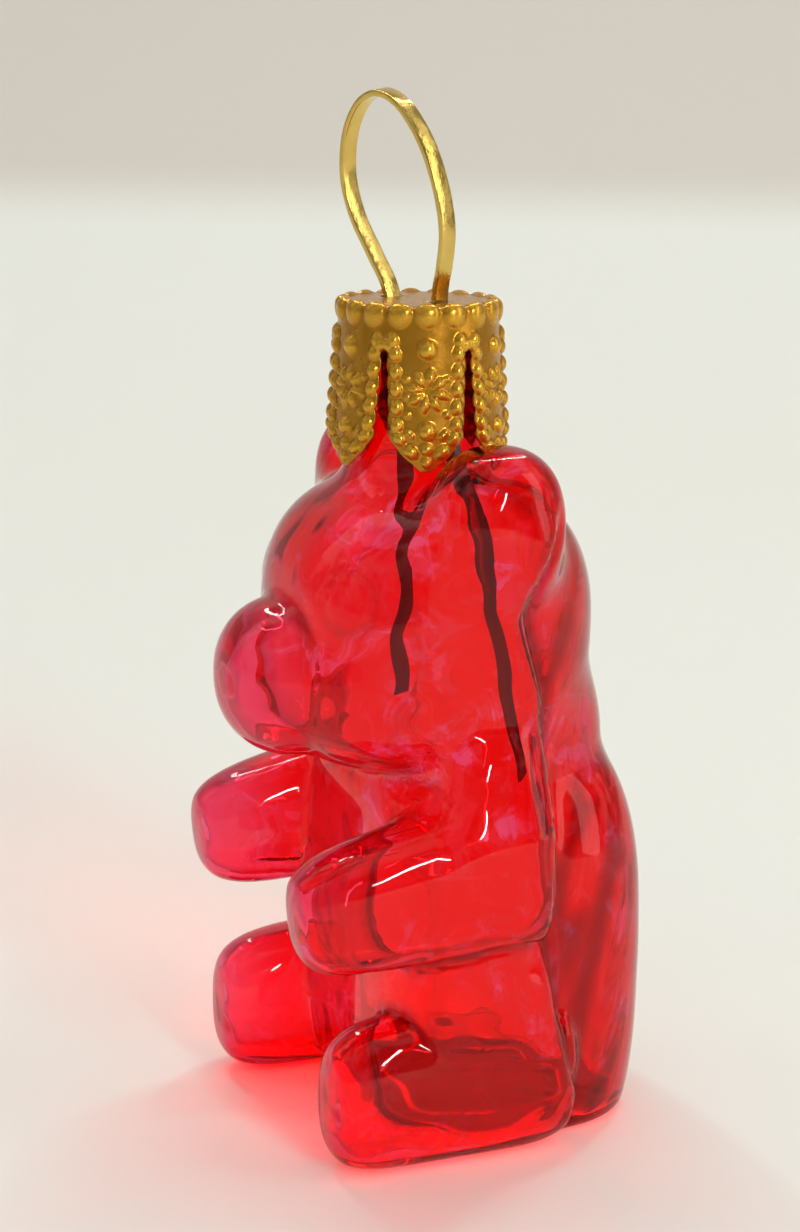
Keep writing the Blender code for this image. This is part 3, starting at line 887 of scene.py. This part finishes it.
def painted_card():
    """Pale card, painted greyer where it curves up: painted shade."""
    made = bpy.data.materials.new("matte painted card")
    made.use_nodes = True
    tree = made.node_tree
    place = add_node(tree, "ShaderNodeTexCoord").outputs["Object"]
    height = add_node(tree, "ShaderNodeSeparateXYZ", {0: place}).outputs["Z"]
    # Painted shade: the card turns greyer with height, where it curves up
    upper_shade = add_node(tree, "ShaderNodeMapRange", {"Value": height, "From Min": 0.032, "From Max": 0.046},
                     interpolation_type="SMOOTHSTEP")
    colour = add_node(tree, "ShaderNodeMix", {"Factor": upper_shade.outputs["Result"]}, data_type="RGBA")
    colour.inputs["A"].default_value = linear("#E6E8E3")
    colour.inputs["B"].default_value = linear("#D2CDC5")
    shader = tree.nodes["Principled BSDF"]
    shader.inputs["Roughness"].default_value = 0.7
    tree.links.new(colour.outputs["Result"], shader.inputs["Base Color"])
    return made


floor.data.materials.append(painted_card())

# %% [markdown]
# The light is a ring of small lamps above and behind the bear, which draws the thin bright rings on the ear and the
# snout, in a room that is bright behind and above and dimmer in front, so that the metal has something dark to
# reflect.

# %% Ring of lamps and the room
BACK = Vector((-math.sin(math.radians(65.4)), math.cos(math.radians(65.4)), 0.0))
RING_AWAY = 0.7
RING_UP = 52.0
RING_RADIUS = 0.28
LAMPS = 28
LAMP_WATTS = 0.15
LAMP_AWAY = 0.6


def ring_lamps():
    aim = Vector((0.0, 0.0, 0.03))
    toward = BACK * math.cos(math.radians(RING_UP)) + Vector((0.0, 0.0, math.sin(math.radians(RING_UP))))
    level = toward.cross(Vector((0.0, 0.0, 1.0))).normalized()
    other = level.cross(toward)
    bulb = bpy.data.lights.new("ring_lamp", "AREA")
    bulb.shape = "DISK"
    bulb.size = 0.042
    bulb.energy = LAMP_WATTS
    bulb.color = linear("#FFFDF8")[:3]
    for number in range(LAMPS):
        angle = 2 * math.pi * number / LAMPS
        lamp = bpy.data.objects.new("ring_lamp_%02d" % number, bulb)
        bpy.context.scene.collection.objects.link(lamp)
        lamp.location = aim + toward * RING_AWAY + (level * math.cos(angle) + other * math.sin(angle)) * RING_RADIUS
        lamp.rotation_euler = (lamp.location - aim).to_track_quat("Z", "Y").to_euler()


ring_lamps()


def direction(turn, rise):
    """Unit vector at a turn from -Y towards +X and a rise over the table, in degrees."""
    turn, rise = math.radians(turn), math.radians(rise)
    return Vector((math.sin(turn) * math.cos(rise), -math.cos(turn) * math.cos(rise), math.sin(rise)))


def area_lamp(name, low, high, wide, watts):
    """A straight lamp between two directions seen from the bear."""
    ends = [direction(*low) * LAMP_AWAY, direction(*high) * LAMP_AWAY]
    middle = (ends[0] + ends[1]) / 2
    bulb = bpy.data.lights.new(name, "AREA")
    bulb.shape = "RECTANGLE"
    bulb.size = wide
    bulb.size_y = (ends[1] - ends[0]).length
    bulb.energy = watts
    bulb.color = linear("#FFFDF8")[:3]
    lamp = bpy.data.objects.new(name, bulb)
    bpy.context.scene.collection.objects.link(lamp)
    up = (ends[1] - ends[0]).normalized()
    away = middle.normalized()
    across = up.cross(away).normalized()
    place = Matrix((across, up, across.cross(up))).transposed().to_4x4()
    place.translation = middle + Vector((0.0, 0.0, 0.02))
    lamp.matrix_world = place


area_lamp("tube_lamp", (93.0, 12.0), (103.0, 30.0), 0.02, 1.2)
area_lamp("window_lamp", (132.0, -2.0), (150.0, 50.0), 0.13, 0.5)


def room():
    made = bpy.data.worlds.new("room")
    bpy.context.scene.world = made
    made.use_nodes = True
    tree = made.node_tree
    way = add_node(tree, "ShaderNodeTexCoord").outputs["Generated"]
    behind = add_node(tree, "ShaderNodeVectorMath", {0: way, 1: tuple(BACK + Vector((0.0, 0.0, 0.8)))},
                      operation="DOT_PRODUCT")
    strength = add_node(tree, "ShaderNodeMapRange", {"Value": behind.outputs["Value"], "From Min": -0.7,
                                                     "From Max": 0.9, "To Min": 0.28, "To Max": 1.15})
    things = add_node(tree, "ShaderNodeTexNoise", {"Vector": way, "Scale": 3.0, "Detail": 2.0})
    dim = add_node(tree, "ShaderNodeMapRange", {"Value": things.outputs["Fac"], "From Min": 0.44, "From Max": 0.56,
                                                "To Min": 0.25, "To Max": 1.25})
    both = add_node(tree, "ShaderNodeMath", {0: strength.outputs["Result"], 1: dim.outputs["Result"]},
                    operation="MULTIPLY")
    seen = add_node(tree, "ShaderNodeLightPath").outputs["Is Camera Ray"]
    strength = add_node(tree, "ShaderNodeMix", {"Factor": seen, "A": both.outputs[0], "B": 0.7})
    sky = tree.nodes["Background"]
    sky.inputs["Color"].default_value = linear("#F3F4F0")
    tree.links.new(strength.outputs["Result"], sky.inputs["Strength"])


room()

# %% Camera
def look():
    turn, away, height = math.radians(65.4), 148.8 * MM, 71.1 * MM
    down, swing, roll = math.radians(13.8), math.radians(0.5), math.radians(0.8)
    axis_y = (NECK_Y + 0.4) * MM
    eye = Vector((away * math.sin(turn), axis_y - away * math.cos(turn), height))
    level = Vector((-math.sin(turn + swing), math.cos(turn + swing), 0.0))
    forward = level * math.cos(down) - Vector((0.0, 0.0, math.sin(down)))
    right = Vector((math.cos(turn + swing), math.sin(turn + swing), 0.0))
    up = right.cross(forward)
    side = right * math.cos(roll) + up * math.sin(roll)
    top = up * math.cos(roll) - right * math.sin(roll)
    place = Matrix((side, top, -forward)).transposed().to_4x4()
    place.translation = eye
    lens = bpy.data.cameras.new("camera")
    lens.sensor_width = 36.0
    lens.lens = 67.0
    lens.clip_start = 0.005
    camera = bpy.data.objects.new("camera", lens)
    bpy.context.scene.collection.objects.link(camera)
    camera.matrix_world = place
    bpy.context.scene.camera = camera


look()
bpy.context.scene.view_settings.view_transform = "Standard"

# %% Join the pieces to the part
for piece, node, slot in ((bear, "glass_bear", "red_glass"), (cap, "cap", "gilt_cap"),
                          (wire, "hanger_wire", "brass_wire")):
    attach(piece, "root")
    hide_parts(node)
